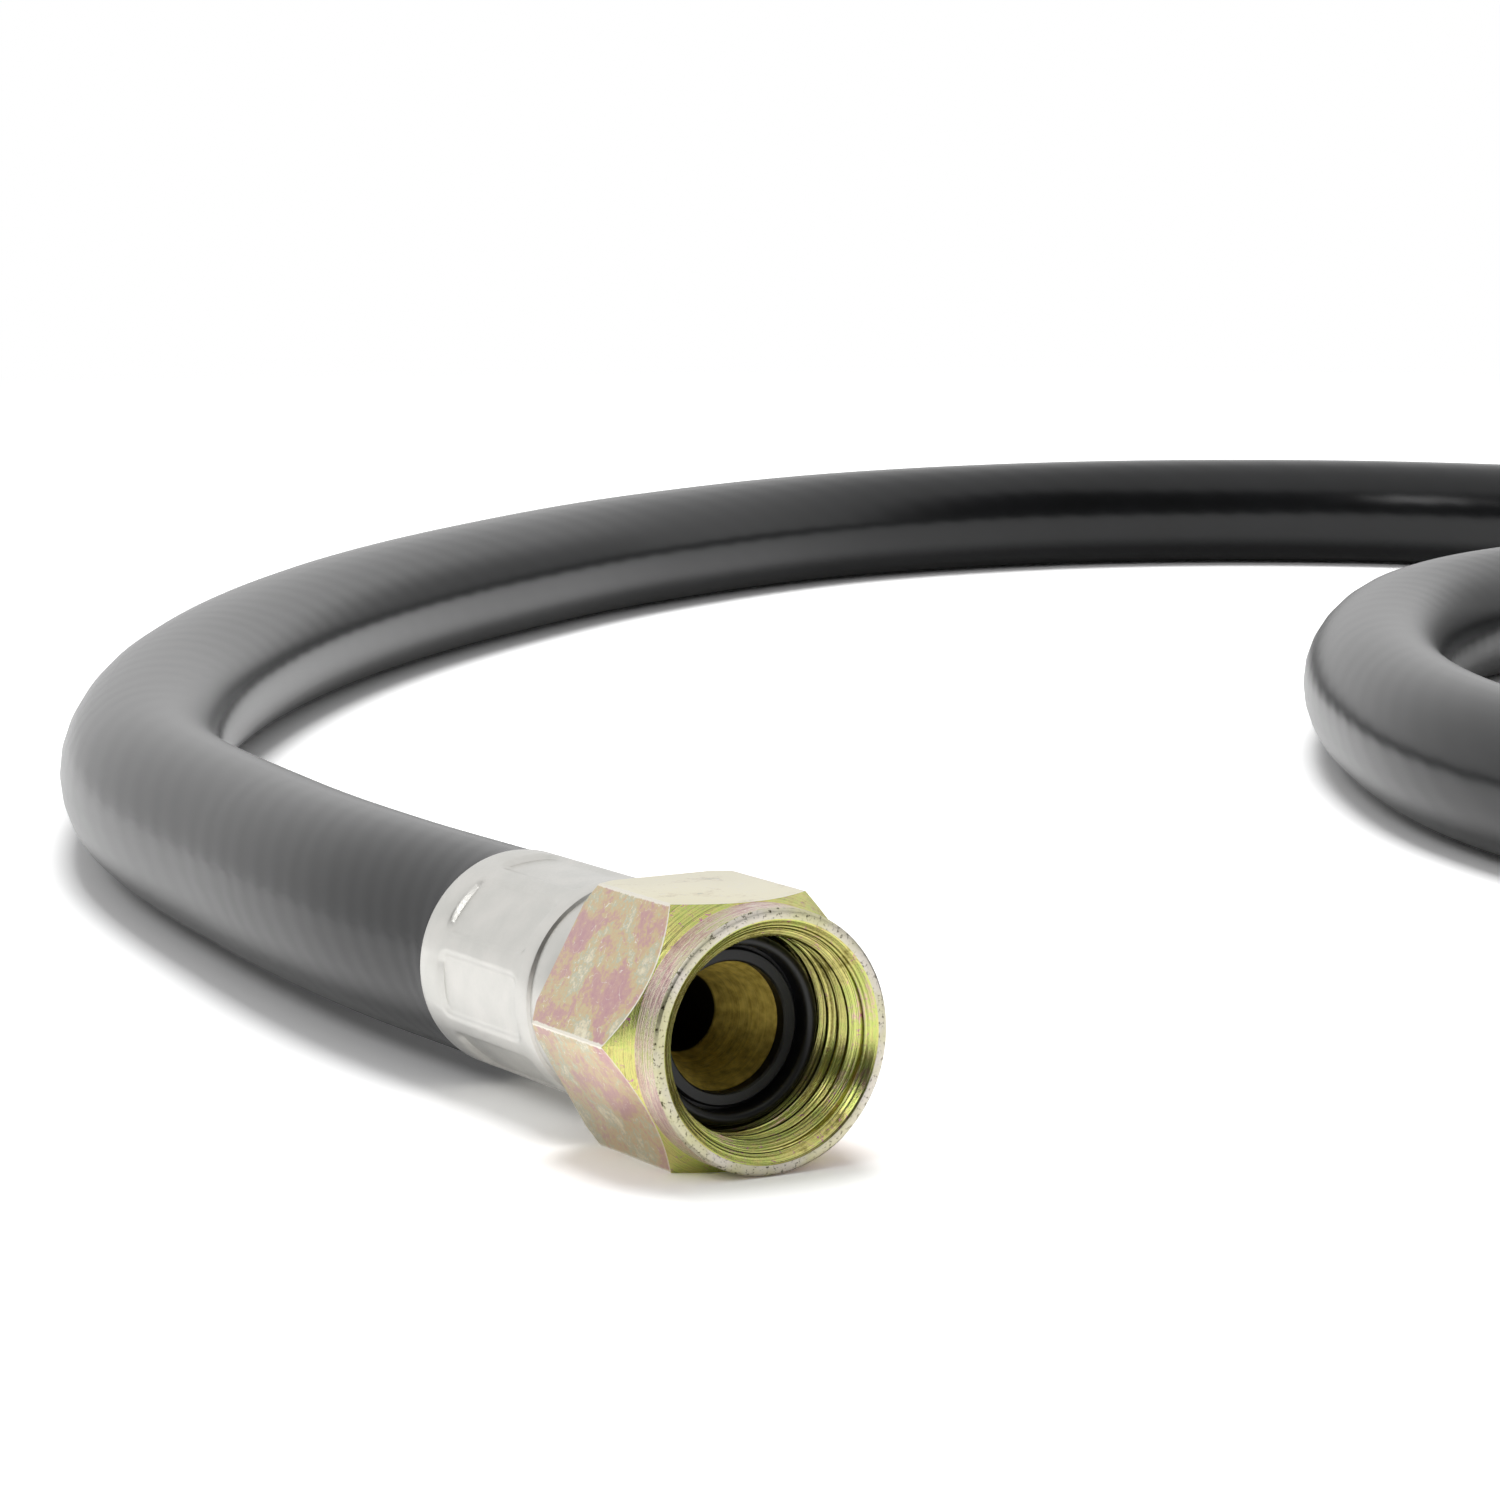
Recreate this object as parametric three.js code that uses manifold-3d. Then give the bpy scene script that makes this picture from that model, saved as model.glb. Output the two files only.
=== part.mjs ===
// Inert gas hose: a thick black rubber hose with a crimped swivel-nut fitting on each end.
// Millimetres, +Z up. The near fitting lies on one hex flat, centred on the origin, its mouth towards -Y.

import * as THREE from 'three';
import { mergeVertices } from 'three/addons/utils/BufferGeometryUtils.js';
import Module from 'manifold-3d';

// Clearance between pieces that touch or turn on each other
const CLEARANCE = 0.3;

// Swivel nut: its own axis runs from the mouth (0) towards the hose
const NUT_ACROSS_FLATS = 19.05;
const NUT_LENGTH = 15.6;
const COLLAR_RADIUS = 9.45;
const COLLAR_LENGTH = 2.7;
const RIM_CHAMFER = 0.2;
const HEX_FRONT_CHAMFER = 2.0;
const HEX_REAR_CHAMFER = 0.75;
const HEX_REAR_INSET = 0.7;
const THREAD_MINOR_RADIUS = 7.25;
const MOUTH_RADIUS = 8.7;
const MOUTH_DEPTH = 1.5;
const NUT_SHOULDER = 3.5;

// Hose tail: flange with a cone seat inside the nut, neck, and a barbed shank inside the hose
const FLANGE_RADIUS = 6.9;
const FLANGE_FACE = 7.3;
const SEAT_EDGE_RADIUS = 4.65;
const SEAT_DEPTH = 5.8;
const TAIL_BORE_RADIUS = 2.85;
const NECK_RADIUS = 4.9;
const SHANK_RADIUS = 3.8;
const BARB_RADIUS = 4.3;
const BARB_PITCH = 3.2;
const BARB_COUNT = 4;
const SHANK_LEAD = 0.7;
const BARB_RISE = 0.2;
const BARB_GAP = 0.4;
const TIP_CHAMFER = 0.7;
const TIP_WALL = 0.3;

// Rubber seal on the flange face: outer bead, groove, flat land
const SEAL_INNER_RADIUS = 4.8;
const SEAL_BEAD_FRONT = 5.1;
const SEAL_BEAD_WIDTH = 0.95;
const SEAL_GROOVE_DEPTH = 0.5;
const SEAL_GROOVE_WIDTH = 0.25;
const SEAL_LAND_FRONT = 6.2;

// Crimped ferrule: tapered shoulder, raised ring, eight die panels, plain band
const FERRULE_RADIUS = 8.35;
const FERRULE_WALL = 0.75;
const FERRULE_LENGTH = 22;
const FERRULE_MOUTH_CHAMFER = 0.3;
const SHOULDER_LENGTH = 4.9;
const SHOULDER_FRONT_RADIUS = 6.6;
const SHOULDER_STEP = 0.35;
const SHOULDER_LAND = 0.6;
const RING_LENGTH = 1.6;
const PANEL_COUNT = 8;
const PANEL_DEPTH = 0.42;
const PANEL_LENGTH = 12.6;
const PANEL_CORNER = 1.1;
const PANEL_RIDGE = 1.1;
// How far round from the top the first panel is, in panels
const PANEL_PHASE = 0.89;

// Hose
const HOSE_RADIUS = 8.2;
const HOSE_BORE_RADIUS = 4.8;
const HOSE_LIES_AT = HOSE_RADIUS + 0.1;

// The hose's route from the near ferrule, through one wide turn and part of a second inside it:
// x, y and the rise above where it lies on the ground
const ROUTE = [
  [0, 40, 1.2], [3.2, 69, 0.7], [13, 118, 0.1], [33.4, 163.5, 0], [60.4, 205.5, 0], [92.5, 243.8, 0],
  [129.6, 277.5, 0], [173.4, 308, 0], [222, 327.5, 0], [268, 326, 0], [306, 304.5, 0], [330.5, 268, 0],
  [342.5, 223, 0], [349, 170, 0], [351.5, 110, 0], [351.5, 50, 0], [349, -8, 0], [336, -58, 0],
  [307, -99, 0], [265, -121, 0], [217, -119.5, 0], [173, -96, 0], [142, -55, 0], [129.5, 0, 0],
  [134, 61, 0], [151, 101, 0], [180, 141, 0], [211, 169, 0], [241, 181.5, 0], [273, 180.5, 0],
  [302, 166, 0], [322, 140, 0], [330, 108, 0], [332, 76, 0], [331, 44, 0], [325, 12, 0],
  [308, -14, 0], [284, -29.5, 0],
];

// The far fitting lies inside the turn, its mouth towards -X
const FAR_FERRULE_MOUTH = [218, -36];
const FAR_LEAD_IN = 38;

// Facets
const ROUND_SIDES = 36;
const HOSE_SIDES = 12;
const HOSE_STEPS = 66;
const BEAD_FACETS = 4;
const PANEL_CORNER_FACETS = 3;
// How far a cutter or an overlapping solid runs past the faces it meets
const OVERRUN = 1;
const PANEL_CUTTER_DEPTH = 2;
const END_OVERLAP = 2;

const AXIS_HEIGHT = NUT_ACROSS_FLATS / 2;
const NUT_CORNER_RADIUS = AXIS_HEIGHT / Math.cos(Math.PI / 6);
const FLANGE_BACK = NUT_LENGTH - NUT_SHOULDER - CLEARANCE;
const FERRULE_START = NUT_LENGTH + CLEARANCE;
const FITTING_LENGTH = FERRULE_START + FERRULE_LENGTH;
const NECK_END = FERRULE_START + SHOULDER_LENGTH;
const CAVITY_START = NECK_END + FERRULE_WALL;
const PANEL_START = NECK_END + RING_LENGTH;
const HOSE_GRIP_START = CAVITY_START + CLEARANCE;
const HOSE_GRIP_RADIUS = FERRULE_RADIUS - FERRULE_WALL - CLEARANCE;
const FIRST_BARB = HOSE_GRIP_START + SHANK_LEAD;
const GRIPPED_LENGTH = FITTING_LENGTH - HOSE_GRIP_START + CLEARANCE;

const wasm = await Module();
wasm.setup();

const plated = new THREE.MeshStandardMaterial({ color: 0xc9bd93, roughness: 0.35, metalness: 0.9 });
const silvery = new THREE.MeshStandardMaterial({ color: 0xd2d0cc, roughness: 0.4, metalness: 0.9 });
const brass = new THREE.MeshStandardMaterial({ color: 0xb08d3c, roughness: 0.35, metalness: 1 });
const sealRubber = new THREE.MeshStandardMaterial({ color: 0x161616, roughness: 0.6, metalness: 0 });
const hoseRubber = new THREE.MeshStandardMaterial({ color: 0x1d1e1f, roughness: 0.5, metalness: 0 });

// A closed three.js geometry as a solid that can be joined and cut
function solid(geometry) {
  const bare = geometry.clone();
  bare.deleteAttribute('normal');
  bare.deleteAttribute('uv');
  const merged = mergeVertices(bare, 1e-4);
  return new wasm.Manifold(new wasm.Mesh({
    numProp: 3,
    vertProperties: new Float32Array(merged.attributes.position.array),
    triVerts: new Uint32Array(merged.index.array),
  }));
}

function meshOf(body, name, material) {
  const { vertProperties, triVerts } = body.getMesh();
  const geometry = new THREE.BufferGeometry();
  geometry.setAttribute('position', new THREE.BufferAttribute(vertProperties, 3));
  geometry.setIndex(new THREE.BufferAttribute(triVerts, 1));
  geometry.computeVertexNormals();
  const mesh = new THREE.Mesh(geometry, material);
  mesh.name = name;
  return mesh;
}

// A profile of [radius, distance from the mouth] points, turned about the fitting's axis
function turned(profile) {
  const points = profile.map(([radius, along]) => new THREE.Vector2(radius, along));
  return solid(new THREE.LatheGeometry(points, ROUND_SIDES));
}

// A closed ring profile, listed once round
const turnedRing = (profile) => turned([...profile, profile[0]]);

function hexPrism(from, to) {
  const corners = Array.from({ length: 6 }, (_, i) => new THREE.Vector2(
    NUT_CORNER_RADIUS * Math.cos(i * Math.PI / 3), NUT_CORNER_RADIUS * Math.sin(i * Math.PI / 3)));
  const prism = new THREE.ExtrudeGeometry(new THREE.Shape(corners), { depth: to - from, bevelEnabled: false });
  prism.rotateX(-Math.PI / 2);
  prism.translate(0, from, 0);
  return solid(prism);
}

// Hex nut with a round collar in front, chamfered corners, open bore and a shoulder behind the flange
function swivelNut() {
  const chamferStart = COLLAR_LENGTH;
  const corners = turned([
    [0, chamferStart], [COLLAR_RADIUS, chamferStart],
    [NUT_CORNER_RADIUS, chamferStart + HEX_FRONT_CHAMFER],
    [NUT_CORNER_RADIUS, NUT_LENGTH - HEX_REAR_CHAMFER],
    [NUT_CORNER_RADIUS - HEX_REAR_INSET, NUT_LENGTH], [0, NUT_LENGTH],
  ]);
  const collar = turned([
    [0, 0], [COLLAR_RADIUS - RIM_CHAMFER, 0], [COLLAR_RADIUS, RIM_CHAMFER],
    [COLLAR_RADIUS, chamferStart + CLEARANCE], [0, chamferStart + CLEARANCE],
  ]);
  const shoulder = NUT_LENGTH - NUT_SHOULDER;
  const neckHole = NECK_RADIUS + CLEARANCE;
  const bore = turned([
    [0, -OVERRUN], [MOUTH_RADIUS, -OVERRUN], [MOUTH_RADIUS, 0], [THREAD_MINOR_RADIUS, MOUTH_DEPTH],
    [THREAD_MINOR_RADIUS, shoulder], [neckHole, shoulder],
    [neckHole, NUT_LENGTH + OVERRUN], [0, NUT_LENGTH + OVERRUN],
  ]);
  return hexPrism(chamferStart, NUT_LENGTH).intersect(corners).add(collar).subtract(bore);
}

// Brass tail: cone seat and bore from the front, flange, neck, and barbs that grip the hose
function hoseTail() {
  const barbs = [];
  for (let i = 0; i < BARB_COUNT; i += 1) {
    const start = FIRST_BARB + i * BARB_PITCH;
    barbs.push([SHANK_RADIUS, start], [BARB_RADIUS, start + BARB_RISE]);
    barbs.push([SHANK_RADIUS, start + BARB_PITCH - BARB_GAP]);
  }
  const tip = FIRST_BARB + BARB_COUNT * BARB_PITCH;
  return turnedRing([
    [TAIL_BORE_RADIUS, FLANGE_FACE + SEAT_DEPTH], [SEAT_EDGE_RADIUS, FLANGE_FACE],
    [FLANGE_RADIUS, FLANGE_FACE], [FLANGE_RADIUS, FLANGE_BACK],
    [NECK_RADIUS, FLANGE_BACK], [NECK_RADIUS, NECK_END], [SHANK_RADIUS, NECK_END],
    ...barbs, [SHANK_RADIUS, tip],
    [TAIL_BORE_RADIUS + TIP_WALL, tip + TIP_CHAMFER], [TAIL_BORE_RADIUS, tip + TIP_CHAMFER],
  ]);
}

// Rubber ring with a rounded outer bead, a narrow groove and a flat land round the cone seat
function sealRing() {
  const outer = FLANGE_RADIUS;
  const back = FLANGE_FACE - CLEARANCE;
  const beadInner = outer - SEAL_BEAD_WIDTH;
  const landOuter = beadInner - SEAL_GROOVE_WIDTH;
  const bead = [];
  for (let i = 0; i <= BEAD_FACETS; i += 1) {
    const angle = Math.PI * i / BEAD_FACETS;
    bead.push([
      beadInner + SEAL_BEAD_WIDTH / 2 * (1 - Math.cos(angle)),
      SEAL_BEAD_FRONT + SEAL_BEAD_WIDTH / 2 * (1 - Math.sin(angle)),
    ]);
  }
  return turnedRing([
    [SEAL_INNER_RADIUS, back], [SEAL_INNER_RADIUS, SEAL_LAND_FRONT], [landOuter, SEAL_LAND_FRONT],
    [landOuter, SEAL_LAND_FRONT + SEAL_GROOVE_DEPTH], [beadInner, SEAL_LAND_FRONT + SEAL_GROOVE_DEPTH],
    ...bead, [outer, back],
  ]);
}

// One die mark: a flat with rounded corners, pressed into the ferrule from straight above
function panelCutter() {
  const flat = FERRULE_RADIUS - PANEL_DEPTH;
  const half = FERRULE_RADIUS * Math.sin(Math.PI / PANEL_COUNT) - PANEL_RIDGE / 2;
  const outline = new THREE.Shape();
  outline.moveTo(-half + PANEL_CORNER, 0);
  outline.absarc(half - PANEL_CORNER, PANEL_CORNER, PANEL_CORNER, -Math.PI / 2, 0);
  outline.absarc(half - PANEL_CORNER, PANEL_LENGTH - PANEL_CORNER, PANEL_CORNER, 0, Math.PI / 2);
  outline.absarc(-half + PANEL_CORNER, PANEL_LENGTH - PANEL_CORNER, PANEL_CORNER, Math.PI / 2, Math.PI);
  outline.absarc(-half + PANEL_CORNER, PANEL_CORNER, PANEL_CORNER, Math.PI, 1.5 * Math.PI);
  const cutter = new THREE.ExtrudeGeometry(outline, {
    depth: PANEL_CUTTER_DEPTH, bevelEnabled: false, curveSegments: PANEL_CORNER_FACETS,
  });
  cutter.translate(0, PANEL_START, flat);
  return cutter;
}

// Ferrule: a thin shell round the hose, closing on the tail's neck, with eight crimped panels
function crimpedFerrule() {
  const neckHole = NECK_RADIUS + CLEARANCE;
  const cavity = FERRULE_RADIUS - FERRULE_WALL;
  let shell = turnedRing([
    [neckHole, FERRULE_START], [SHOULDER_FRONT_RADIUS, FERRULE_START],
    [FERRULE_RADIUS - SHOULDER_STEP, NECK_END - SHOULDER_LAND], [FERRULE_RADIUS - SHOULDER_STEP, NECK_END],
    [FERRULE_RADIUS, NECK_END],
    [FERRULE_RADIUS, FITTING_LENGTH - FERRULE_MOUTH_CHAMFER],
    [FERRULE_RADIUS - FERRULE_MOUTH_CHAMFER, FITTING_LENGTH], [cavity, FITTING_LENGTH],
    [cavity, CAVITY_START], [neckHole, CAVITY_START],
  ]);
  for (let i = 0; i < PANEL_COUNT; i += 1) {
    const cutter = panelCutter();
    cutter.rotateY((i + PANEL_PHASE) * 2 * Math.PI / PANEL_COUNT);
    shell = shell.subtract(solid(cutter));
  }
  return shell;
}

// One end of the hose: nut, tail, seal and ferrule on a common axis along +Y from the mouth
function fitting(end) {
  const pieces = new THREE.Group();
  pieces.add(meshOf(swivelNut(), `${end}_nut`, plated));
  pieces.add(meshOf(hoseTail(), `${end}_tail`, brass));
  pieces.add(meshOf(sealRing(), `${end}_seal`, sealRubber));
  pieces.add(meshOf(crimpedFerrule(), `${end}_ferrule`, silvery));
  return pieces;
}

const nearHoseStart = new THREE.Vector3(0, FITTING_LENGTH / 2 + CLEARANCE, AXIS_HEIGHT);
const farHoseEnd = new THREE.Vector3(FAR_FERRULE_MOUTH[0] + CLEARANCE, FAR_FERRULE_MOUTH[1], AXIS_HEIGHT);

// The hose's centre line: level with the fittings at its ends, and resting on the ground between them
function hoseRoute() {
  const lying = ROUTE.map(([x, y, rise]) => new THREE.Vector3(x, y, HOSE_LIES_AT + rise));
  const leadIn = farHoseEnd.clone().add(new THREE.Vector3(FAR_LEAD_IN, 0, 0));
  return new THREE.CatmullRomCurve3([nearHoseStart, ...lying, leadIn, farHoseEnd], false, 'centripetal');
}

function circleShape(radius) {
  const corners = Array.from({ length: HOSE_SIDES }, (_, i) => new THREE.Vector2(
    radius * Math.cos(2 * Math.PI * i / HOSE_SIDES), radius * Math.sin(2 * Math.PI * i / HOSE_SIDES)));
  return new THREE.Shape(corners);
}

function alongRoute(radius) {
  const options = { steps: HOSE_STEPS, extrudePath: hoseRoute(), bevelEnabled: false };
  return solid(new THREE.ExtrudeGeometry(circleShape(radius), options));
}

// A straight round bar from inside a ferrule to a little way into the full-size hose
function straightEnd(hoseEnd, turn, radius, extra) {
  const length = GRIPPED_LENGTH + extra + END_OVERLAP;
  const bar = new THREE.CylinderGeometry(radius, radius, length, HOSE_SIDES);
  bar.translate(0, END_OVERLAP - length / 2, 0);
  bar.rotateZ(turn);
  bar.translate(hoseEnd.x, hoseEnd.y, hoseEnd.z);
  return solid(bar);
}

function hoseBody() {
  const ends = [[nearHoseStart, 0], [farHoseEnd, -Math.PI / 2]];
  let outside = alongRoute(HOSE_RADIUS);
  let bore = alongRoute(HOSE_BORE_RADIUS);
  for (const [hoseEnd, turn] of ends) {
    outside = outside.add(straightEnd(hoseEnd, turn, HOSE_GRIP_RADIUS, 0));
    bore = bore.add(straightEnd(hoseEnd, turn, HOSE_BORE_RADIUS, OVERRUN));
  }
  return outside.subtract(bore);
}

const group = new THREE.Group();

const nearFitting = fitting('near');
nearFitting.position.set(0, -FITTING_LENGTH / 2, AXIS_HEIGHT);
group.add(nearFitting);

const farFitting = fitting('far');
farFitting.rotation.z = -Math.PI / 2;
farFitting.position.set(FAR_FERRULE_MOUTH[0] - FITTING_LENGTH, FAR_FERRULE_MOUTH[1], AXIS_HEIGHT);
group.add(farFitting);

group.add(meshOf(hoseBody(), 'hose', hoseRubber));

export default group;
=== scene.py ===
import math

import bmesh
import bpy
from mathutils import Matrix, Vector


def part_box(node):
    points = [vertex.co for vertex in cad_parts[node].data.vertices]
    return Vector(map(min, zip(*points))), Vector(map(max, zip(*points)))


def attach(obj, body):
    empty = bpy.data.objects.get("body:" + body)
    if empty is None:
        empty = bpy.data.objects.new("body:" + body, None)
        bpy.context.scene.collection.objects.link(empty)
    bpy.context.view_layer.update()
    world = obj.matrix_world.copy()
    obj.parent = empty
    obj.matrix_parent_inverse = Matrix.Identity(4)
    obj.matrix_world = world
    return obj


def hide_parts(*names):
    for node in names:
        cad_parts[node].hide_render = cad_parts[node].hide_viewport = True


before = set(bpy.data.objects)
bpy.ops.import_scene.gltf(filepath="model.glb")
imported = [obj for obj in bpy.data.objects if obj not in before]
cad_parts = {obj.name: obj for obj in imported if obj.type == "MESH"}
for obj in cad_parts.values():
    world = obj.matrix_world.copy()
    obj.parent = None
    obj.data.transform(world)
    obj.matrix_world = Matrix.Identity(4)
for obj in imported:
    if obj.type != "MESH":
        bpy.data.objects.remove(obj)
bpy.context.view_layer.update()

scene = bpy.context.scene
MM = 0.001

# Camera: close and low, a little above the floor, looking along the near fitting from its left.
# The lens is long, so that the fitting is large, low in the middle of the frame.
CAMERA_TILT = 0.139
CAMERA_TURN = -0.537
camera_lens = bpy.data.cameras.new("camera")
camera_lens.sensor_width = 36
camera_lens.lens = 111.6
camera_lens.clip_start = 0.01
camera = bpy.data.objects.new("camera", camera_lens)
camera.location = (-0.1634, -0.2903, 0.07435)
camera.rotation_euler = (math.radians(90) - CAMERA_TILT, 0, CAMERA_TURN)
scene.collection.objects.link(camera)
scene.camera = camera

# Hose: black rubber over a braid, moulded under a wound cloth that leaves faint slanting ripples.
# It leaves the near ferrule straight, lies on the floor in a wide sweep and one loose turn, and
# ends in the far ferrule inside the turn. Its line is the CAD route, point for point.
HOSE_RADIUS = 8.2 * MM
HOSE_REST = 8.3 * MM
HOSE_IN_FERRULE = 2.7 * MM
HOSE_GAP = 0.3 * MM
HOSE_UNROLLED = (1760, 51.5)
FAR_LEAD_IN = 0.038
HOSE_ROUTE = [
    (0, 0.040, 0.0012), (0.0032, 0.069, 0.0007), (0.013, 0.118, 0.0001), (0.0334, 0.1635, 0),
    (0.0604, 0.2055, 0), (0.0925, 0.2438, 0), (0.1296, 0.2775, 0), (0.1734, 0.308, 0),
    (0.222, 0.3275, 0), (0.268, 0.326, 0), (0.306, 0.3045, 0), (0.3305, 0.268, 0),
    (0.3425, 0.223, 0), (0.349, 0.170, 0), (0.3515, 0.110, 0), (0.3515, 0.050, 0),
    (0.349, -0.008, 0), (0.336, -0.058, 0), (0.307, -0.099, 0), (0.265, -0.121, 0),
    (0.217, -0.1195, 0), (0.173, -0.096, 0), (0.142, -0.055, 0), (0.1295, 0, 0),
    (0.134, 0.061, 0), (0.151, 0.101, 0), (0.180, 0.141, 0), (0.211, 0.169, 0),
    (0.241, 0.1815, 0), (0.273, 0.1805, 0), (0.302, 0.166, 0), (0.322, 0.140, 0),
    (0.330, 0.108, 0), (0.332, 0.076, 0), (0.331, 0.044, 0), (0.325, 0.012, 0),
    (0.308, -0.014, 0), (0.284, -0.0295, 0),
]


def linear(hex_colour):
    """An sRGB hex colour as the linear RGBA that shaders take"""
    parts = [int(hex_colour[i:i + 2], 16) / 255 for i in (1, 3, 5)]
    return [c / 12.92 if c <= 0.04045 else ((c + 0.055) / 1.055) ** 2.4 for c in parts] + [1]


def add_node(tree, kind, inputs=None, **settings):
    """A new node with its settings; each input is a value or another node's output"""
    node = tree.nodes.new(kind)
    for name, value in settings.items():
        setattr(node, name, value)
    for name, value in (inputs or {}).items():
        if isinstance(value, bpy.types.NodeSocket):
            tree.links.new(value, node.inputs[name])
        else:
            node.inputs[name].default_value = value
    return node


def reckon(tree, operation, *values):
    """The result of one math node on numbers or other nodes' outputs"""
    return add_node(tree, "ShaderNodeMath", dict(enumerate(values)), operation=operation).outputs[0]


def noise(tree, point, scale, detail, roughness=0.5, distortion=0.0):
    """A noise over a point, mostly between 0.3 and 0.7"""
    return add_node(tree, "ShaderNodeTexNoise", {
        "Vector": point, "Scale": scale, "Detail": detail, "Roughness": roughness,
        "Distortion": distortion}).outputs["Fac"]


def ramp(tree, value, stops):
    """A colour ramp over (position, colour) stops, fed by value"""
    node = add_node(tree, "ShaderNodeValToRGB", {"Fac": value})
    while len(node.color_ramp.elements) < len(stops):
        node.color_ramp.elements.new(1)
    for element, (position, colour) in zip(node.color_ramp.elements, stops):
        element.position = position
        element.color = linear(colour) if isinstance(colour, str) else (colour, colour, colour, 1)
    return node.outputs["Color"]


def new_material(name):
    """An empty material, its node tree and its principled shader"""
    material = bpy.data.materials.new(name)
    material.use_nodes = True
    return material, material.node_tree, material.node_tree.nodes["Principled BSDF"]


def finish_shader(tree, shader, colour, height, strength, distance):
    """Colours the shader and bumps it by height, of which 1 is that distance in metres"""
    bump = add_node(tree, "ShaderNodeBump", {
        "Height": height, "Strength": strength, "Distance": distance})
    tree.links.new(colour, shader.inputs["Base Color"])
    tree.links.new(bump.outputs["Normal"], shader.inputs["Normal"])


def wrapped_rubber():
    """Vulcanised rubber: near black, satin, with faint slanting ripples of the cloth wrap and dust.

    It is drawn on the hose's own UV, unrolled to millimetres along the hose and round it.
    """
    material, tree, shader = new_material("wrapped_rubber")
    shader.inputs["Roughness"].default_value = 0.26
    shader.inputs["IOR"].default_value = 1.45
    unrolled = add_node(tree, "ShaderNodeMapping", {
        "Vector": add_node(tree, "ShaderNodeTexCoord").outputs["UV"],
        "Scale": (*HOSE_UNROLLED, 1)}).outputs[0]
    slanted = add_node(tree, "ShaderNodeMapping", {"Vector": unrolled, "Rotation": (0, 0, 0.95)})
    ripples = add_node(tree, "ShaderNodeTexWave", {
        "Vector": slanted.outputs[0], "Scale": 0.09, "Distortion": 3.5, "Detail": 2,
        "Detail Scale": 0.4})
    grain = noise(tree, unrolled, 1.6, 5, 0.6)
    dust = noise(tree, unrolled, 0.12, 4, 0.55)
    relief = reckon(tree, "MULTIPLY_ADD", grain, 0.25, ripples.outputs["Fac"])
    colour = ramp(tree, dust, [(0.35, "#090a0b"), (0.7, "#101113")])
    finish_shader(tree, shader, colour, relief, 0.11, 0.0001)
    return material


near_low, near_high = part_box("near_ferrule")
far_low, far_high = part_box("far_ferrule")
near_mouth = Vector((0, near_high.y, (near_low.z + near_high.z) / 2))
far_mouth = Vector((far_high.x, (far_low.y + far_high.y) / 2, near_mouth.z))

line = [near_mouth - Vector((0, HOSE_IN_FERRULE, 0)), near_mouth + Vector((0, HOSE_GAP, 0))]
line += [Vector((x, y, HOSE_REST + rise)) for x, y, rise in HOSE_ROUTE]
line += [far_mouth + Vector((HOSE_GAP + FAR_LEAD_IN, 0, 0)), far_mouth + Vector((HOSE_GAP, 0, 0))]
line += [far_mouth - Vector((HOSE_IN_FERRULE, 0, 0))]

hose_line = bpy.data.curves.new("hose_line", "CURVE")
hose_line.dimensions = "3D"
hose_line.resolution_u = 12
hose_line.bevel_depth = HOSE_RADIUS
hose_line.bevel_resolution = 12
hose_line.use_fill_caps = True
spline = hose_line.splines.new("BEZIER")
spline.bezier_points.add(len(line) - 1)
# Handles of a centripetal Catmull-Rom curve, as the CAD route has them
reach = [2 * line[0] - line[1], *line, 2 * line[-1] - line[-2]]
root = [math.sqrt((b - a).length) for a, b in zip(reach, reach[1:])]
for i, knot in enumerate(spline.bezier_points):
    a, b, c = reach[i:i + 3]
    slope = (b - a) / root[i] - (c - a) / (root[i] + root[i + 1]) + (c - b) / root[i + 1]
    knot.handle_left_type = knot.handle_right_type = "FREE"
    knot.co = b
    knot.handle_left = b - slope * root[i] / 3
    knot.handle_right = b + slope * root[i + 1] / 3
hose = bpy.data.objects.new("rubber_hose", hose_line)
scene.collection.objects.link(hose)
hose_line.materials.append(wrapped_rubber())
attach(hose, "hose")
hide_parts("hose")

# End fittings: the same on both ends, each made about its own axis, +Y from the nut's mouth, and
# then moved to its place. The near nut's mouth faces -Y and the far nut's faces -X.
near_nut_low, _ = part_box("near_nut")
far_nut_low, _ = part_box("far_nut")
quarter_turn = Matrix.Rotation(-math.pi / 2, 4, "Z")
places = {
    "near": Matrix.Translation((0, near_nut_low.y, near_mouth.z)),
    "far": Matrix.Translation((far_nut_low.x, far_mouth.y, far_mouth.z)) @ quarter_turn,
}


def spun(profile, steps):
    """A ring of this closed (radius, along) profile in millimetres, spun about the fitting's axis"""
    bm = bmesh.new()
    corners = [bm.verts.new((radius * MM, along * MM, 0)) for radius, along in profile]
    for a, b in zip(corners, corners[1:] + corners[:1]):
        bm.edges.new((a, b))
    bmesh.ops.spin(bm, geom=bm.verts[:] + bm.edges[:], axis=(0, 1, 0), cent=(0, 0, 0),
                   steps=steps, angle=2 * math.pi, use_merge=True)
    bmesh.ops.recalc_face_normals(bm, faces=bm.faces[:])
    return bm


def soften(bm, width, segments=2, sharper_than=25):
    """Bevels every edge sharper than the angle in degrees"""
    limit = math.radians(sharper_than)
    sharp = [e for e in bm.edges if e.is_manifold and e.calc_face_angle(0) > limit]
    bmesh.ops.bevel(bm, geom=sharp, offset=width * MM, segments=segments, profile=0.5,
                    affect="EDGES", clamp_overlap=True, material=-1)


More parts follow.
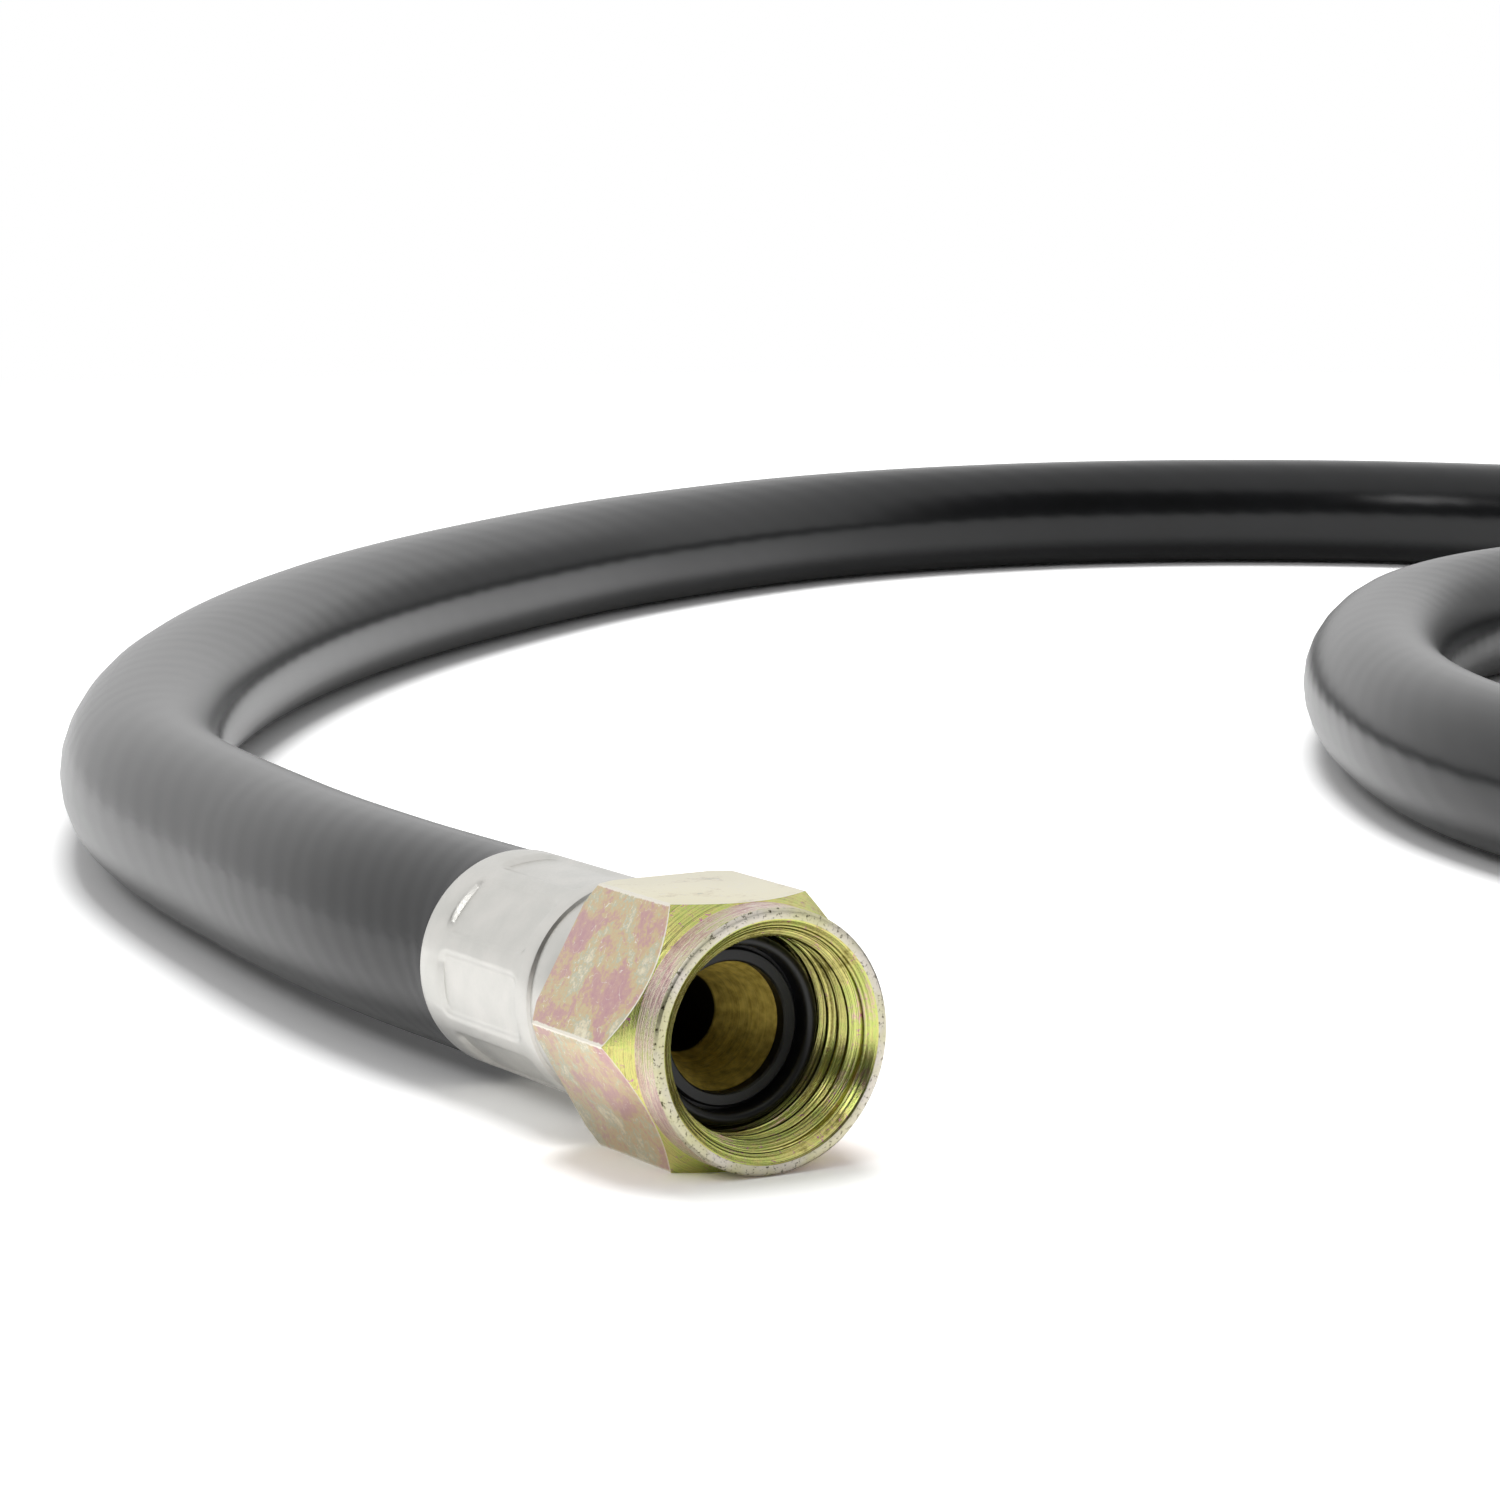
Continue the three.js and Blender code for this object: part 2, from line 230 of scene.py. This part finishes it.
def place_piece(bm, name, end, node, body, materials):
    """Moves the finished piece to its end of the hose and makes it stand for its CAD node"""
    bmesh.ops.transform(bm, matrix=places[end], verts=bm.verts[:])
    mesh = bpy.data.meshes.new(name)
    bm.to_mesh(mesh)
    bm.free()
    mesh.shade_smooth()
    mesh.set_sharp_from_angle(angle=math.radians(32))
    for material in materials:
        mesh.materials.append(material)
    piece = bpy.data.objects.new(name, mesh)
    scene.collection.objects.link(piece)
    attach(piece, body)
    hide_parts(node)


def fitting_point(tree, end):
    """A point of the surface in its own fitting's millimetres: x, along from the mouth, z"""
    local = add_node(tree, "ShaderNodeMapping", {
        "Vector": add_node(tree, "ShaderNodeTexCoord").outputs["Object"],
        "Location": places[end].translation, "Rotation": places[end].to_euler()},
        vector_type="TEXTURE")
    scaled = add_node(tree, "ShaderNodeVectorMath", {
        0: local.outputs[0], "Scale": 1 / MM}, operation="SCALE")
    return scaled.outputs[0]


def radius_and_along(tree, point):
    """The distance from the fitting's axis and the distance from its mouth, in millimetres"""
    parts = add_node(tree, "ShaderNodeSeparateXYZ", {0: point})
    flat = add_node(tree, "ShaderNodeCombineXYZ", {0: parts.outputs[0], 2: parts.outputs[2]})
    radius = add_node(tree, "ShaderNodeVectorMath", {0: flat.outputs[0]}, operation="LENGTH")
    return radius.outputs["Value"], parts.outputs[1]


# Ferrule: a thin steel sleeve, clear zinc plated, slid over the hose and closed on it by eight
# die segments. Each leaves a shallow panel, with a rounded rib between it and the next, a plain
# band at the hose's end and a raised ring and a tapered shoulder at the nut's end.
FERRULE_RADIUS = 8.35
FERRULE_START = 15.9
FERRULE_END = 37.9
NECK_HOLE_RADIUS = 5.2
RING_START = 20.8
SHOULDER = [(6.6, FERRULE_START), (7.35, 17.4), (7.85, 18.9), (8.02, 20.1), (8.05, RING_START - 0.15)]
CAVITY_RADIUS = 7.6
CAVITY_START = 21.6
CAVITY_FLARE_START = 34.0
PANEL_START = 22.4
PANEL_END = 35.0
PANEL_COUNT = 8
PANEL_PHASE = 0.89
PANEL_HALF_WIDTH = 2.65
PANEL_MIDDLE_DEPTH = 0.40
PANEL_EDGE_DEPTH = 0.24
PANEL_CORNER = 1.1
PANEL_EDGE_SOFTNESS = 0.5
PANEL_RING_MARGIN = 0.2
PANEL_RING_STEP = 0.28
FERRULE_STEPS_PER_PANEL = 36


def panel_depth(turn, along):
    """How deep the die pressed the sleeve at this angle from the top and distance from the mouth"""
    step = 2 * math.pi / PANEL_COUNT
    off = ((turn / step - PANEL_PHASE + 0.5) % 1 - 0.5) * step
    across = FERRULE_RADIUS * math.sin(off)
    middle = (PANEL_START + PANEL_END) / 2
    half_length = (PANEL_END - PANEL_START) / 2
    dx = max(abs(across) - (PANEL_HALF_WIDTH - PANEL_CORNER), 0)
    dy = max(abs(along - middle) - (half_length - PANEL_CORNER), 0)
    inside = min(max((PANEL_CORNER - math.hypot(dx, dy)) / PANEL_EDGE_SOFTNESS, 0), 1)
    inside = inside * inside * (3 - 2 * inside)
    bow = (across / PANEL_HALF_WIDTH) ** 2
    return inside * (PANEL_MIDDLE_DEPTH + (PANEL_EDGE_DEPTH - PANEL_MIDDLE_DEPTH) * bow)


def satin_zinc(end):
    """Clear zinc plate on drawn steel: silver white and satin, with a fine grain"""
    material, tree, shader = new_material(f"satin_zinc_{end}")
    shader.inputs["Metallic"].default_value = 1
    point = fitting_point(tree, end)
    grain = noise(tree, point, 5, 6, 0.65)
    cloud = noise(tree, point, 0.35, 3)
    rough = ramp(tree, grain, [(0.3, 0.28), (0.7, 0.4)])
    tree.links.new(rough, shader.inputs["Roughness"])
    colour = ramp(tree, cloud, [(0.35, "#cecdc8"), (0.65, "#d6d4cf")])
    finish_shader(tree, shader, colour, grain, 0.3, 0.00003)
    return material


ring_count = int((PANEL_END - PANEL_START + 2 * PANEL_RING_MARGIN) / PANEL_RING_STEP) + 1
panel_rings = [PANEL_START - PANEL_RING_MARGIN + PANEL_RING_STEP * i for i in range(ring_count)]
for end in places:
    bm = spun([
        (NECK_HOLE_RADIUS, FERRULE_START), *SHOULDER,
        (FERRULE_RADIUS - 0.06, RING_START), (FERRULE_RADIUS, RING_START + 0.2),
        *[(FERRULE_RADIUS, along) for along in panel_rings],
        (FERRULE_RADIUS, FERRULE_END - 0.35), (FERRULE_RADIUS - 0.03, FERRULE_END - 0.15),
        (FERRULE_RADIUS - 0.12, FERRULE_END), (8.0, FERRULE_END - 0.1),
        (CAVITY_RADIUS, CAVITY_FLARE_START), (CAVITY_RADIUS, CAVITY_START),
        (NECK_HOLE_RADIUS, CAVITY_START),
    ], FERRULE_STEPS_PER_PANEL * PANEL_COUNT)
    for vert in bm.verts:
        along = vert.co.y / MM
        radius = math.hypot(vert.co.x, vert.co.z)
        if PANEL_START < along < PANEL_END and radius > (FERRULE_RADIUS - 0.1) * MM:
            pressed = 1 - panel_depth(math.atan2(vert.co.x, vert.co.z), along) * MM / radius
            vert.co.x *= pressed
            vert.co.z *= pressed
    place_piece(bm, f"{end}_crimped_ferrule", end, f"{end}_ferrule", "hose",
                [satin_zinc(end)])

# Hose tail: turned brass, pushed into the hose inside the ferrule. Its front is a straight cone
# seat that narrows to the bore, with the fine rings of the cutting tool.
SEAT_EDGE_RADIUS = 4.65
SEAT_DEPTH = 5.8
TAIL_FACE = 7.3
TAIL_BORE_RADIUS = 2.85
FLANGE_RADIUS = 6.9
FLANGE_BACK = 11.8
NECK_RADIUS = 4.9
NECK_END = 20.8
SHANK_RADIUS = 3.8
SHANK_END = 35.2
BARB_RADIUS = 4.3
BARB_COUNT = 4
BARB_PITCH = 3.2
FIRST_BARB = 22.5
BARB_RISE = 0.2
BARB_LENGTH = 2.8


def axis_direction(tree, end):
    """The way the fitting's axis points, across which the lathe's rings lie"""
    axis = places[end].to_3x3() @ Vector((0, 1, 0))
    return add_node(tree, "ShaderNodeCombineXYZ", {0: axis.x, 1: axis.y, 2: axis.z}).outputs[0]


def lathe_marks(tree, ring, scale, detail, roughness):
    """A noise over one distance only, so that it is the same all the way round"""
    return add_node(tree, "ShaderNodeTexNoise", {
        "W": ring, "Scale": scale, "Detail": detail, "Roughness": roughness},
        noise_dimensions="1D").outputs["Fac"]


def to_range(tree, value, low, high, new_low=0.0, new_high=1.0, curve="LINEAR"):
    """The value carried from low..high to new_low..new_high and held there past both"""
    return add_node(tree, "ShaderNodeMapRange", {
        "Value": value, "From Min": low, "From Max": high, "To Min": new_low, "To Max": new_high},
        interpolation_type=curve).outputs[0]


def mix_colours(tree, factor, first, second):
    """From first to second as factor goes from 0 to 1; each is a hex colour or a node's output"""
    first, second = [linear(c) if isinstance(c, str) else c for c in (first, second)]
    return add_node(tree, "ShaderNodeMix", {
        "Factor": factor, "A": first, "B": second}, data_type="RGBA").outputs["Result"]


def turned_brass(end):
    """Brass from the lathe: yellow, its fine rings spread the shine to and fro; the bore is dull, and
    its wall is painted near black as shade
    """
    material, tree, shader = new_material(f"turned_brass_{end}")
    shader.inputs["Metallic"].default_value = 1
    shader.inputs["Anisotropic"].default_value = 0.9
    point = fitting_point(tree, end)
    radius, along = radius_and_along(tree, point)
    marks = lathe_marks(tree, reckon(tree, "ADD", radius, along), 9, 4, 0.7)
    cloud = noise(tree, point, 1.5, 4)
    tarnish = reckon(tree, "MULTIPLY_ADD", marks, 0.5, cloud)
    clean = ramp(tree, tarnish, [(0.5, "#98853a"), (0.95, "#d2ba60")])
    past_shaded_bore = to_range(tree, radius, TAIL_BORE_RADIUS + 0.02, TAIL_BORE_RADIUS + 0.1)
    rough = to_range(tree, past_shaded_bore, 0, 1, 0.8, 0.62)
    tree.links.new(rough, shader.inputs["Roughness"])
    tree.links.new(axis_direction(tree, end), shader.inputs["Tangent"])
    # The bore's wall is painted near black: painted shade deep in the hole, not the brass's own colour
    colour = mix_colours(tree, past_shaded_bore, "#15120a", clean)
    finish_shader(tree, shader, colour, marks, 1.0, 0.00005)
    return material


for end in places:
    barbs = []
    for i in range(BARB_COUNT):
        start = FIRST_BARB + BARB_PITCH * i
        barbs += [(SHANK_RADIUS, start), (BARB_RADIUS, start + BARB_RISE)]
        barbs += [(SHANK_RADIUS, start + BARB_LENGTH)]
    bm = spun([
        (TAIL_BORE_RADIUS, TAIL_FACE + SEAT_DEPTH), (SEAT_EDGE_RADIUS, TAIL_FACE),
        (FLANGE_RADIUS, TAIL_FACE), (FLANGE_RADIUS, FLANGE_BACK), (NECK_RADIUS, FLANGE_BACK),
        (NECK_RADIUS, NECK_END), (SHANK_RADIUS, NECK_END), *barbs, (SHANK_RADIUS, SHANK_END),
        (3.1, SHANK_END - 0.1), (TAIL_BORE_RADIUS, SHANK_END - 0.1),
    ], 96)
    soften(bm, 0.08)
    place_piece(bm, f"{end}_hose_tail", end, f"{end}_tail", "hose", [turned_brass(end)])

# Seal: a moulded rubber ring on the tail's flange, with a round bead at its outside, a narrow
# groove, and a flat land whose inner lip stands just proud of the brass cone.
SEAL_BEAD_WIDTH = 0.95
SEAL_BEAD_FRONT = 5.1
SEAL_BEAD_STEPS = 12
SEAL_LAND_FRONT = 6.2
SEAL_LAND_RADIUS = 5.55
SEAL_LIP_RADIUS = 4.72
SEAL_BACK = 7.25


def moulded_rubber(end):
    """Nitrile rubber: deep black and dull, with grey specks of dust"""
    material, tree, shader = new_material(f"moulded_rubber_{end}")
    shader.inputs["Roughness"].default_value = 0.4
    shader.inputs["IOR"].default_value = 1.5
    specks = noise(tree, fitting_point(tree, end), 7, 3)
    colour = ramp(tree, specks, [(0.0, "#08080a"), (0.68, "#0c0c0e"), (0.76, "#2a2822")])
    finish_shader(tree, shader, colour, specks, 0.2, 0.00003)
    return material


bead_radius = SEAL_BEAD_WIDTH / 2
bead_middle = FLANGE_RADIUS - bead_radius
bead_turns = [math.pi * i / SEAL_BEAD_STEPS for i in range(SEAL_BEAD_STEPS + 1)]
bead = [(bead_middle - bead_radius * math.cos(turn),
         SEAL_BEAD_FRONT + bead_radius * (1 - math.sin(turn))) for turn in bead_turns]
for end in places:
    bm = spun([
        (SEAL_LIP_RADIUS, SEAL_BACK), (SEAL_LIP_RADIUS, SEAL_LAND_FRONT + 0.15),
        (SEAL_LIP_RADIUS + 0.13, SEAL_LAND_FRONT), (SEAL_LAND_RADIUS, SEAL_LAND_FRONT),
        (SEAL_LAND_RADIUS + 0.15, SEAL_LAND_FRONT + 0.12),
        (SEAL_LAND_RADIUS + 0.17, SEAL_LAND_FRONT + 0.5),
        (SEAL_LAND_RADIUS + 0.4, SEAL_LAND_FRONT + 0.5),
        *bead, (FLANGE_RADIUS, SEAL_BACK),
    ], 128)
    place_piece(bm, f"{end}_seal_ring", end, f"{end}_seal", "hose",
                [moulded_rubber(end)])

# Swivel nut: turned from steel bar, milled to a hexagon, threaded 5/8-18 inside, then zinc plated
# and yellow passivated. A shoulder at its back holds it on the tail's flange, free to turn.
ACROSS_FLATS = 19.05
CORNER_RADIUS = 11.0
NUT_LENGTH = 15.6
COLLAR_RADIUS = 9.45
COLLAR_END = 2.7
CHAMFER_END = 4.7
REAR_CHAMFER_START = 14.85
REAR_CHAMFER_INSET = 0.7
RIM_RADIUS = 9.25
RIM_ROUNDING = 0.2
MOUTH_RADIUS = 8.7
SHOULDER_FACE = 12.1
THREAD_ROOT_RADIUS = 7.94
THREAD_CREST_RADIUS = 7.25
THREAD_PITCH = 1.411
THREAD_TURNS = 5.75
THREAD_START = 0.35
THREAD_STEPS = 96
THREAD_TOOTH = [(8.0, -0.66), (7.32, -0.24), (THREAD_CREST_RADIUS, -0.15),
                (THREAD_CREST_RADIUS, 0.15), (7.32, 0.24), (8.0, 0.66)]


def marks_of_wear(tree, point, scale, width):
    """Short curling hairlines, 1 on a line: where a noise crosses its middle, in scattered places"""
    line_here = reckon(tree, "COMPARE", noise(tree, point, scale, 2), 0.5, width)
    some = reckon(tree, "GREATER_THAN", noise(tree, point, scale * 1.7, 3), 0.53)
    return reckon(tree, "MULTIPLY", line_here, some)


def rub_edges(tree, colour, radius, along, grain):
    """The colour, rubbed pale along the hexagon's corners and where its flats meet the front chamfer"""
    corner = to_range(tree, radius, CORNER_RADIUS - 0.2, CORNER_RADIUS - 0.06)
    taper = (CORNER_RADIUS - COLLAR_RADIUS) / (CHAMFER_END - COLLAR_END)
    cone = reckon(tree, "MULTIPLY_ADD", along, taper, COLLAR_RADIUS - COLLAR_END * taper)
    front = to_range(tree, reckon(tree, "SUBTRACT", cone, radius), 0.2, 0.05)
    edge = reckon(tree, "MAXIMUM", corner, front)
    rubbed = to_range(tree, reckon(tree, "MULTIPLY_ADD", edge, 0.6, grain), 0.86, 1.0)
    return mix_colours(tree, rubbed, colour, "#ece7da")


def passivated_zinc(name, end, film, roughness, line_colour, tool_marks=0.0, ring_scale=1.0, bands=0.0):
    """Yellow passivated zinc: a thin clear film whose colour drifts with its thickness.

    film lists the ramp's colours from thin to thick, line_colour is that of its hairlines, and
    tool_marks the depth of the lathe's rings. A face with no rings is a flat, rubbed at its edges,
    and the flat that lies on top is painted paler and greener: painted sheen, for how its film
    looks at a grazing angle.
    """
    material, tree, shader = new_material(f"{name}_{end}")
    shader.inputs["Metallic"].default_value = 1
    shader.inputs["Roughness"].default_value = roughness
    point = fitting_point(tree, end)
    radius, along = radius_and_along(tree, point)
    cloud = noise(tree, point, 0.22, 6, 0.65, 0.3)
    fine = noise(tree, point, 2.2, 8, 0.8)
    thickness = reckon(tree, "MULTIPLY_ADD", fine, 0.55, cloud)
    height = reckon(tree, "MULTIPLY", fine, 0.3)
    if tool_marks:
        ring = reckon(tree, "MULTIPLY_ADD", along, 0.3, radius)
        marks = lathe_marks(tree, ring, ring_scale, 3, 0.6)
        height = reckon(tree, "MULTIPLY_ADD", marks, tool_marks, height)
        middle = reckon(tree, "SUBTRACT", marks, 0.5)
        thickness = reckon(tree, "MULTIPLY_ADD", middle, bands, thickness)
        shader.inputs["Anisotropic"].default_value = 0.6
        tree.links.new(axis_direction(tree, end), shader.inputs["Tangent"])
    else:
        # The flat on top is painted paler and greener: painted sheen, for how its film looks at a
        # grazing angle
        rise = add_node(tree, "ShaderNodeSeparateXYZ", {0: point}).outputs[2]
        top_flat_sheen = to_range(tree, rise, ACROSS_FLATS / 2 - 0.15, ACROSS_FLATS / 2, 0, 0.24)
        thickness = reckon(tree, "ADD", top_flat_sheen, thickness)
    hairlines = marks_of_wear(tree, point, 0.9, 0.006)
    colour = mix_colours(tree, hairlines, ramp(tree, thickness, film), line_colour)
    if not tool_marks:
        colour = rub_edges(tree, colour, radius, along, fine)
    finish_shader(tree, shader, colour, height, 0.8, 0.00005)
    return material


def worn_rim(end):
    """The rim's edge, where the plate has rubbed off: silvery steel, finely pitted with dark"""
    material, tree, shader = new_material(f"worn_rim_{end}")
    shader.inputs["Metallic"].default_value = 1
    shader.inputs["Roughness"].default_value = 0.28
    point = fitting_point(tree, end)
    wear = noise(tree, point, 3.5, 5, 0.7)
    plate = ramp(tree, noise(tree, point, 0.3, 2), [(0.4, "#d2cbbf"), (0.6, "#c9c5a0")])
    unpitted = ramp(tree, wear, [(0.37, 0.0), (0.45, 1.0)])
    colour = mix_colours(tree, unpitted, "#4d4733", plate)
    finish_shader(tree, shader, colour, wear, 0.6, 0.00005)
    return material


FLAT_FILM = [(0.6, "#c29a9f"), (0.725, "#caa7a0"), (0.75, "#cfb795"), (0.825, "#cfc29c"),
             (0.84, "#afbdb4"), (0.87, "#d6cbb0"), (0.96, "#e8e2c8")]
CHAMFER_FILM = [(0.55, "#8f8646"), (0.72, "#d8d084"), (0.88, "#c3d074"), (0.97, "#d8c0a0")]
COLLAR_FILM = [(0.55, "#b08f8c"), (0.7, "#d2b4ae"), (0.82, "#dccfbc"), (0.95, "#c6c890")]
FLAT, CHAMFER, COLLAR, WORN = range(4)


def turned_blank():
    """The nut as turned and bored, then cut by its six flats and eased at its edges"""
    bm = spun([
        (RIM_RADIUS, 0), (COLLAR_RADIUS, RIM_ROUNDING), (COLLAR_RADIUS + 0.04, COLLAR_END),
        (CORNER_RADIUS, CHAMFER_END), (CORNER_RADIUS, REAR_CHAMFER_START),
        (CORNER_RADIUS - REAR_CHAMFER_INSET, NUT_LENGTH), (NECK_HOLE_RADIUS, NUT_LENGTH),
        (NECK_HOLE_RADIUS, SHOULDER_FACE), (THREAD_ROOT_RADIUS, SHOULDER_FACE),
        (THREAD_ROOT_RADIUS, MOUTH_RADIUS - THREAD_ROOT_RADIUS), (MOUTH_RADIUS, 0),
    ], 144)
    for i in range(6):
        out = Vector((math.sin(i * math.pi / 3), 0, math.cos(i * math.pi / 3)))
        everything = bm.verts[:] + bm.edges[:] + bm.faces[:]
        cut = bmesh.ops.bisect_plane(bm, geom=everything, plane_no=out,
                                     plane_co=out * ACROSS_FLATS / 2 * MM, clear_outer=True)
        edges = [part for part in cut["geom_cut"] if isinstance(part, bmesh.types.BMEdge)]
        bmesh.ops.contextual_create(bm, geom=edges)
    soften(bm, 0.09)
    return bm


def finish_of(face):
    """Which of the nut's four finishes this face of the blank has"""
    middle = face.calc_center_median() / MM
    radius = math.hypot(middle.x, middle.z)
    if middle.y < RIM_ROUNDING + 0.02 and radius > MOUTH_RADIUS - 0.1:
        return WORN
    if radius < COLLAR_RADIUS - 0.3 and middle.y < NUT_LENGTH - 1:
        return CHAMFER
    if CHAMFER_END > middle.y > COLLAR_END and face.normal.y < -0.3:
        return CHAMFER
    if middle.y < COLLAR_END + 0.1:
        return COLLAR
    return FLAT


def thread_ridge():
    """The thread's ridge as a helix in the bore, cut back where it meets the mouth's chamfer"""
    thread = bmesh.new()
    corners = [thread.verts.new((radius * MM, (along + THREAD_START) * MM, 0))
               for radius, along in THREAD_TOOTH]
    thread.faces.new(corners)
    everything = thread.verts[:] + thread.edges[:] + thread.faces[:]
    bmesh.ops.spin(thread, geom=everything, axis=(0, 1, 0), cent=(0, 0, 0),
                   dvec=(0, THREAD_PITCH * MM / THREAD_STEPS, 0),
                   angle=2 * math.pi * THREAD_TURNS, steps=round(THREAD_TURNS * THREAD_STEPS))
    for vert in thread.verts:
        vert.co.y = max(vert.co.y, 0.1 * MM)
        radius = math.hypot(vert.co.x, vert.co.z)
        least = (MOUTH_RADIUS + 0.03) * MM - vert.co.y
        if radius < least:
            vert.co.x *= least / radius
            vert.co.z *= least / radius
    bmesh.ops.recalc_face_normals(thread, faces=thread.faces[:])
    for face in thread.faces:
        face.material_index = CHAMFER
    ridge = bpy.data.meshes.new("turned_thread")
    thread.to_mesh(ridge)
    thread.free()
    return ridge


for end in places:
    bm = turned_blank()
    for face in bm.faces:
        face.material_index = finish_of(face)
    bm.from_mesh(thread_ridge())
    place_piece(bm, f"{end}_swivel_nut", end, f"{end}_nut", f"{end}_nut", [
        passivated_zinc("passivated_flats", end, FLAT_FILM, 0.34, "#e4dfd4"),
        passivated_zinc("passivated_chamfers", end, CHAMFER_FILM, 0.18, "#c88fa0", 2.6, 6, 0.3),
        passivated_zinc("passivated_collar", end, COLLAR_FILM, 0.24, "#e0dcd2", 4.0, 14, 0.7),
        worn_rim(end),
    ])

# Floor and light: a plain white floor that fades to a white surround, a large soft lamp nearly
# overhead and a little behind the fitting, and a weak one on the left.
FLOOR_MIDDLE = (0.16, 0.1, 0)
FLOOR_HALF_SIDE = 6


def white_floor():
    """Matt white paper, over-exposed to the eye, which turns plain white away from the hose"""
    material, tree, shader = new_material("white_floor")
    shader.inputs["Base Color"].default_value = linear("#f4f4f4")
    shader.inputs["Roughness"].default_value = 0.9
    shader.inputs["Specular IOR Level"].default_value = 0
    ray = add_node(tree, "ShaderNodeLightPath")
    by_eye = ray.outputs["Is Camera Ray"]
    seen = reckon(tree, "MAXIMUM", by_eye, ray.outputs["Is Glossy Ray"])
    seen = reckon(tree, "MAXIMUM", seen, ray.outputs["Is Transmission Ray"])
    bleached = add_node(tree, "ShaderNodeBsdfDiffuse", {"Color": linear("#bcbcbc")})
    both = add_node(tree, "ShaderNodeAddShader", {0: shader.outputs[0], 1: bleached.outputs[0]})
    mirrored = reckon(tree, "MULTIPLY", ray.outputs["Is Glossy Ray"], 0.7)
    clipped = reckon(tree, "MAXIMUM", mirrored, by_eye)
    paper = add_node(tree, "ShaderNodeMixShader", {
        0: clipped, 1: shader.outputs[0], 2: both.outputs[0]})
    position = add_node(tree, "ShaderNodeTexCoord").outputs["Object"]
    away = add_node(tree, "ShaderNodeVectorMath", {
        0: position, 1: FLOOR_MIDDLE}, operation="DISTANCE").outputs["Value"]
    fade = to_range(tree, away, 0.34, 0.8, curve="SMOOTHSTEP")
    white = add_node(tree, "ShaderNodeEmission", {"Strength": 1})
    mixed = add_node(tree, "ShaderNodeMixShader", {
        0: reckon(tree, "MULTIPLY", fade, seen), 1: paper.outputs[0], 2: white.outputs[0]})
    tree.links.new(mixed.outputs[0], tree.nodes["Material Output"].inputs["Surface"])
    return material


bm = bmesh.new()
bmesh.ops.create_grid(bm, x_segments=1, y_segments=1, size=FLOOR_HALF_SIDE)
floor_mesh = bpy.data.meshes.new("floor")
bm.to_mesh(floor_mesh)
bm.free()
floor_mesh.materials.append(white_floor())
floor = bpy.data.objects.new("floor", floor_mesh)
scene.collection.objects.link(floor)


def mix_numbers(tree, factor, first, second):
    """From first to second as factor goes from 0 to 1"""
    return add_node(tree, "ShaderNodeMix", {
        "Factor": factor, "A": first, "B": second}, data_type="FLOAT").outputs[0]


def facing(tree, direction, way):
    """How nearly a level direction points this way"""
    return add_node(tree, "ShaderNodeVectorMath", {
        0: direction, 1: way}, operation="DOT_PRODUCT").outputs["Value"]


world = bpy.data.worlds.new("surround")
world.use_nodes = True
scene.world = world
tree = world.node_tree
ray = add_node(tree, "ShaderNodeLightPath")
direction = add_node(tree, "ShaderNodeTexCoord").outputs["Generated"]
# What shines in the metal: white all round, a little grey at the far right, and the dark room
# behind the camera, up to half way overhead
behind = facing(tree, direction, (-0.512, -0.859, 0))
room = to_range(tree, behind, -0.1, 0.35, 1, 0.08, "SMOOTHSTEP")
right = facing(tree, direction, (0.93, 0.35, 0))
dim = to_range(tree, right, 0.9, 0.98, 1, 0.4, "SMOOTHSTEP")
height = add_node(tree, "ShaderNodeSeparateXYZ", {0: direction}).outputs[2]
above = to_range(tree, height, 0.64, 0.85, curve="SMOOTHSTEP")
reflected = mix_numbers(tree, above, reckon(tree, "MULTIPLY", room, dim), 0.95)
# What lights matt faces is weaker, and what is seen is plain white
lit = mix_numbers(tree, ray.outputs["Is Glossy Ray"], 0.4, reflected)
seen = reckon(tree, "MAXIMUM", ray.outputs["Is Camera Ray"], ray.outputs["Is Transmission Ray"])
background = tree.nodes["Background"]
background.inputs["Color"].default_value = (1, 1, 1, 1)
tree.links.new(mix_numbers(tree, seen, lit, 1.0), background.inputs["Strength"])


def soft_lamp(name, place, aim, size, watts, mirrored):
    """A square soft lamp at place, turned to face aim"""
    lamp = bpy.data.lights.new(name, "AREA")
    lamp.size = size
    lamp.energy = watts
    stand = bpy.data.objects.new(name, lamp)
    stand.location = place
    stand.rotation_euler = (Vector(aim) - Vector(place)).to_track_quat("-Z", "Y").to_euler()
    stand.visible_glossy = mirrored
    scene.collection.objects.link(stand)


soft_lamp("top_lamp", (0.2, 0.4, 1.5), (0.12, 0.1, 0), 0.8, 16, False)
soft_lamp("left_lamp", (-0.9, -0.3, 0.9), (0, 0, 0), 0.4, 2, True)

scene.view_settings.view_transform = "Standard"
